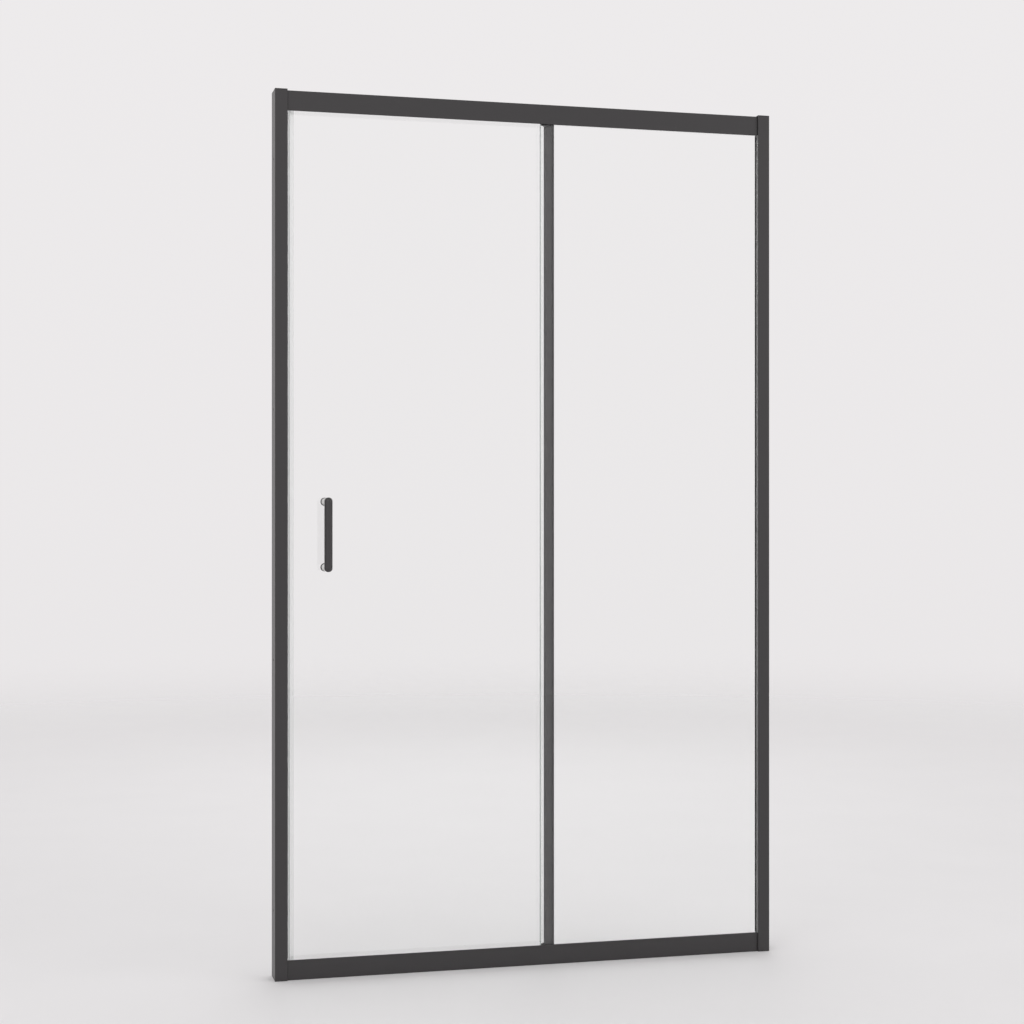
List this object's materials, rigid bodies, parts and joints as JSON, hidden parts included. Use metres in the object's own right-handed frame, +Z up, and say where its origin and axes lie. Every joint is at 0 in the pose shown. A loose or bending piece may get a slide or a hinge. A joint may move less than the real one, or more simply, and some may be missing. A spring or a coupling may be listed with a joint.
{
  "type": "sliding shower door",
  "caption": "Framed alcove shower door: clear sliding leaf with an upright bar handle, running behind a fixed clear pane in a dark frame.",
  "frame": {"origin": "middle of the sill's underside, where it rests on the tray", "axes": "+X along the door to the right as seen from outside, the way the leaf opens; +Y into the shower; +Z up"},
  "size_m": [1.154, 0.0932, 1.95],
  "materials": {
    "powder_coat": "matt",
    "clear_glass": "polished",
    "clear_pvc": "clear",
    "black_rubber": "matt",
    "black_plastic": "matt",
    "white_nylon": "satin",
    "stainless_steel": "brushed",
    "black_metal": "satin",
    "brush_pile": "pile"
  },
  "bodies": {
    "frame": {"wall_channel_left": "powder_coat", "wall_channel_right": "powder_coat", "channel_cap_left": "black_plastic", "channel_cap_right": "black_plastic", "closing_profile": "powder_coat", "closing_seal": "clear_pvc", "glazing_profile": "powder_coat", "side_glazing_wedge": "clear_pvc", "side_glazing_gasket": "black_rubber", "top_rail": "powder_coat", "bottom_rail": "powder_coat", "rail_end_screws": "stainless_steel", "profile_screws": "stainless_steel", "profile_screw_caps": "black_plastic", "fixed_pane": "clear_glass", "pane_setting_blocks": "black_plastic", "top_glazing_gaskets": "black_rubber", "bottom_glazing_gaskets": "black_rubber", "pane_edge_seal": "clear_pvc", "splash_block_top": "black_plastic", "splash_block_bottom": "black_plastic", "track_stop_left": "black_plastic", "track_stop_right": "black_plastic", "track_stop_bumpers": "black_rubber", "track_stop_screws": "stainless_steel"},
    "door": {"door_glass": "clear_glass", "leading_seal": "clear_pvc", "trailing_stile": "powder_coat", "stile_gasket": "black_rubber", "stile_brush": "brush_pile", "stile_cap_top": "black_plastic", "stile_cap_bottom": "black_plastic", "clamp_discs": "stainless_steel", "clamp_screws": "stainless_steel", "glass_bushes": "white_nylon", "handle_bar": "powder_coat", "handle_posts": "stainless_steel", "handle_washers": "black_rubber", "handle_bushes": "white_nylon", "handle_inner_discs": "black_metal", "handle_screws": "black_metal", "hanger_axles": "stainless_steel", "hanger_plate_left": "stainless_steel", "hanger_plate_right": "stainless_steel", "guide_housing_left": "black_plastic", "guide_housing_right": "black_plastic", "guide_springs_left": "stainless_steel", "guide_springs_right": "stainless_steel"},
    "top_wheel_1": {"top_wheel_1": "white_nylon"},
    "top_wheel_2": {"top_wheel_2": "white_nylon"},
    "top_wheel_3": {"top_wheel_3": "white_nylon"},
    "top_wheel_4": {"top_wheel_4": "white_nylon"},
    "guide_plunger_left": {"guide_plunger_left": "black_plastic", "guide_axle_left": "stainless_steel"},
    "guide_wheel_left": {"guide_wheel_left": "white_nylon"},
    "guide_plunger_right": {"guide_plunger_right": "black_plastic", "guide_axle_right": "stainless_steel"},
    "guide_wheel_right": {"guide_wheel_right": "white_nylon"}
  },
  "joints": [
    {"name": "door_slide", "type": "slide", "parent": "frame", "child": "door", "axis": [1, 0, 0], "range_m": [0, 0.465]},
    {"name": "top_wheel_1_spin", "type": "hinge", "parent": "door", "child": "top_wheel_1", "pos_m": [-0.4915, 0.011, 1.9313], "axis": [0, 1, 0], "continuous": true},
    {"name": "top_wheel_2_spin", "type": "hinge", "parent": "door", "child": "top_wheel_2", "pos_m": [-0.4515, 0.011, 1.9313], "axis": [0, 1, 0], "continuous": true},
    {"name": "top_wheel_3_spin", "type": "hinge", "parent": "door", "child": "top_wheel_3", "pos_m": [-0.04, 0.011, 1.9313], "axis": [0, 1, 0], "continuous": true},
    {"name": "top_wheel_4_spin", "type": "hinge", "parent": "door", "child": "top_wheel_4", "pos_m": [0, 0.011, 1.9313], "axis": [0, 1, 0], "continuous": true},
    {"name": "guide_release_left", "type": "slide", "parent": "door", "child": "guide_plunger_left", "axis": [0, 0, 1], "range_m": [0, 0.0055], "stiffness_N_per_m": 600, "springref_m": -0.006, "deforming": ["guide_springs_left"]},
    {"name": "guide_wheel_left_spin", "type": "hinge", "parent": "guide_plunger_left", "child": "guide_wheel_left", "pos_m": [-0.4715, 0.011, 0.0213], "axis": [0, 1, 0], "continuous": true},
    {"name": "guide_release_right", "type": "slide", "parent": "door", "child": "guide_plunger_right", "axis": [0, 0, 1], "range_m": [0, 0.0055], "stiffness_N_per_m": 600, "springref_m": -0.006, "deforming": ["guide_springs_right"]},
    {"name": "guide_wheel_right_spin", "type": "hinge", "parent": "guide_plunger_right", "child": "guide_wheel_right", "pos_m": [-0.02, 0.011, 0.0213], "axis": [0, 1, 0], "continuous": true}
  ],
  "couplings": [
    {"joint": "top_wheel_1_spin", "follows": "door_slide", "rad_per_m": 111.11},
    {"joint": "top_wheel_2_spin", "follows": "door_slide", "rad_per_m": 111.11},
    {"joint": "top_wheel_3_spin", "follows": "door_slide", "rad_per_m": 111.11},
    {"joint": "top_wheel_4_spin", "follows": "door_slide", "rad_per_m": 111.11},
    {"joint": "guide_wheel_left_spin", "follows": "door_slide", "rad_per_m": 133.33},
    {"joint": "guide_wheel_right_spin", "follows": "door_slide", "rad_per_m": 133.33}
  ]
}
